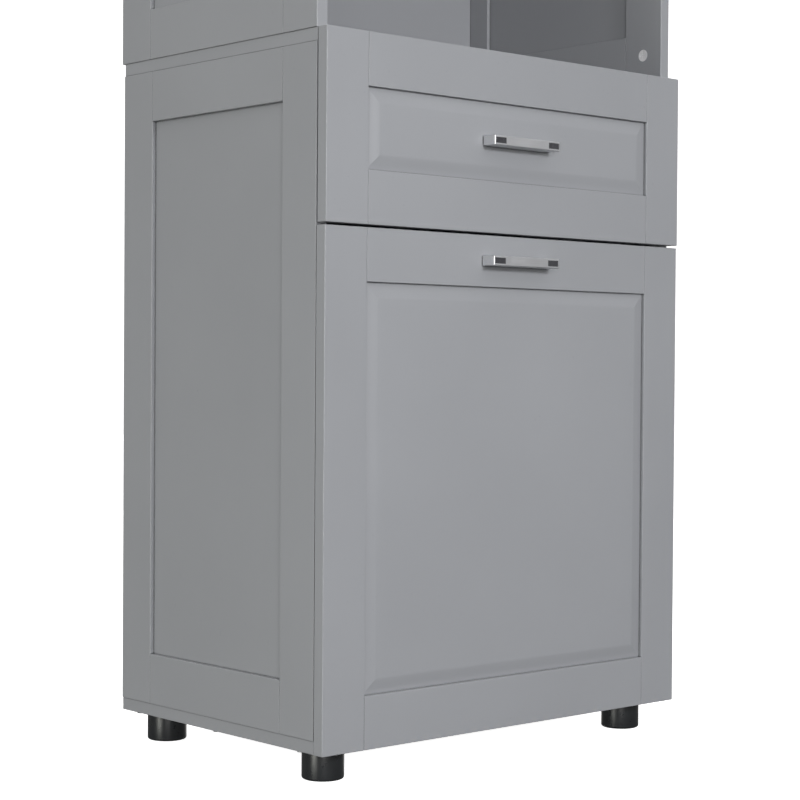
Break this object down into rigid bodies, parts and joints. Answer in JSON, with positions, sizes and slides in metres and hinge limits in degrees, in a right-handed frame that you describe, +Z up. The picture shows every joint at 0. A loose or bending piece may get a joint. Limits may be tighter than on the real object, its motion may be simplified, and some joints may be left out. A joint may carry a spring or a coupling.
{
  "type": "pantry cabinet",
  "caption": "Tall painted pantry cabinet with a drawer over a tilt-out bin front, an open bay and a two-door cupboard on round feet.",
  "frame": {"origin": "middle of the footprint's bounding box at floor level", "axes": "+X to the viewer's right of the front, -Y out of the front, +Z up"},
  "size_m": [0.58, 0.415, 1.825],
  "materials": {
    "painted_board": "satin",
    "back_sheet": "satin",
    "drawer_board": "satin",
    "nickel": "satin",
    "dark_inlay": "gloss",
    "foot_plastic": "gloss",
    "catch_plastic": "matte",
    "cam_zinc": "satin",
    "zinc_steel": "satin"
  },
  "bodies": {
    "cabinet": {"feet": "foot_plastic", "base_screws": "zinc_steel", "bottom_board": "painted_board", "counter_board": "painted_board", "divider_board": "painted_board", "stop_rail": "painted_board", "fixed_shelf": "painted_board", "top_board": "painted_board", "loose_shelf": "painted_board", "shelf_pins": "zinc_steel", "lower_back": "back_sheet", "upper_back": "back_sheet", "lower_frame_left": "painted_board", "lower_frame_right": "painted_board", "upper_frame_left": "painted_board", "upper_frame_right": "painted_board", "lower_panel_left": "painted_board", "lower_panel_right": "painted_board", "upper_panel_left": "painted_board", "upper_panel_right": "painted_board", "cam_locks": "cam_zinc", "cam_bolts": "zinc_steel", "slide_outer": "zinc_steel", "slide_screws": "zinc_steel", "hinge_leaves_fixed": "zinc_steel", "pivot_plates": "zinc_steel", "carcass_screws": "zinc_steel", "magnet_catches": "catch_plastic", "wall_brackets": "zinc_steel"},
    "slide_middles": {"slide_middle": "zinc_steel"},
    "drawer": {"drawer_frame": "painted_board", "drawer_panel": "painted_board", "drawer_handle": "nickel", "drawer_handle_inserts": "dark_inlay", "drawer_sides": "drawer_board", "drawer_ends": "drawer_board", "drawer_floor": "back_sheet", "slide_inner": "zinc_steel", "drawer_screws": "zinc_steel"},
    "bin_front": {"bin_frame": "painted_board", "bin_panel": "painted_board", "bin_handle": "nickel", "bin_handle_inserts": "dark_inlay", "bin_cheeks": "painted_board", "bin_floor": "painted_board", "bin_back": "painted_board", "bin_screws": "zinc_steel", "hinge_leaves_bin": "zinc_steel"},
    "left_door": {"left_door_frame": "painted_board", "left_door_panel": "painted_board", "left_door_handle": "nickel", "left_door_handle_inserts": "dark_inlay", "left_door_screws": "zinc_steel"},
    "right_door": {"right_door_frame": "painted_board", "right_door_panel": "painted_board", "right_door_handle": "nickel", "right_door_handle_inserts": "dark_inlay", "right_door_screws": "zinc_steel"}
  },
  "joints": [
    {"name": "drawer_slide", "type": "slide", "parent": "cabinet", "child": "drawer", "axis": [0, -1, 0], "range_m": [0, 0.29]},
    {"name": "slide_middle_travel", "type": "slide", "parent": "cabinet", "child": "slide_middles", "axis": [0, -1, 0], "range_m": [0, 0.145]},
    {"name": "bin_tilt", "type": "hinge", "parent": "cabinet", "child": "bin_front", "pos_m": [0, -0.1709, 0.0355], "axis": [1, 0, 0], "range_deg": [0, 23]},
    {"name": "left_door_swing", "type": "hinge", "parent": "cabinet", "child": "left_door", "pos_m": [-0.285, -0.1805, 1.1945], "axis": [0, 0, -1], "range_deg": [0, 110]},
    {"name": "right_door_swing", "type": "hinge", "parent": "cabinet", "child": "right_door", "pos_m": [0.285, -0.1805, 1.1945], "axis": [0, 0, 1], "range_deg": [0, 110]}
  ],
  "couplings": [
    {"joint": "slide_middle_travel", "follows": "drawer_slide", "ratio": 0.5}
  ]
}
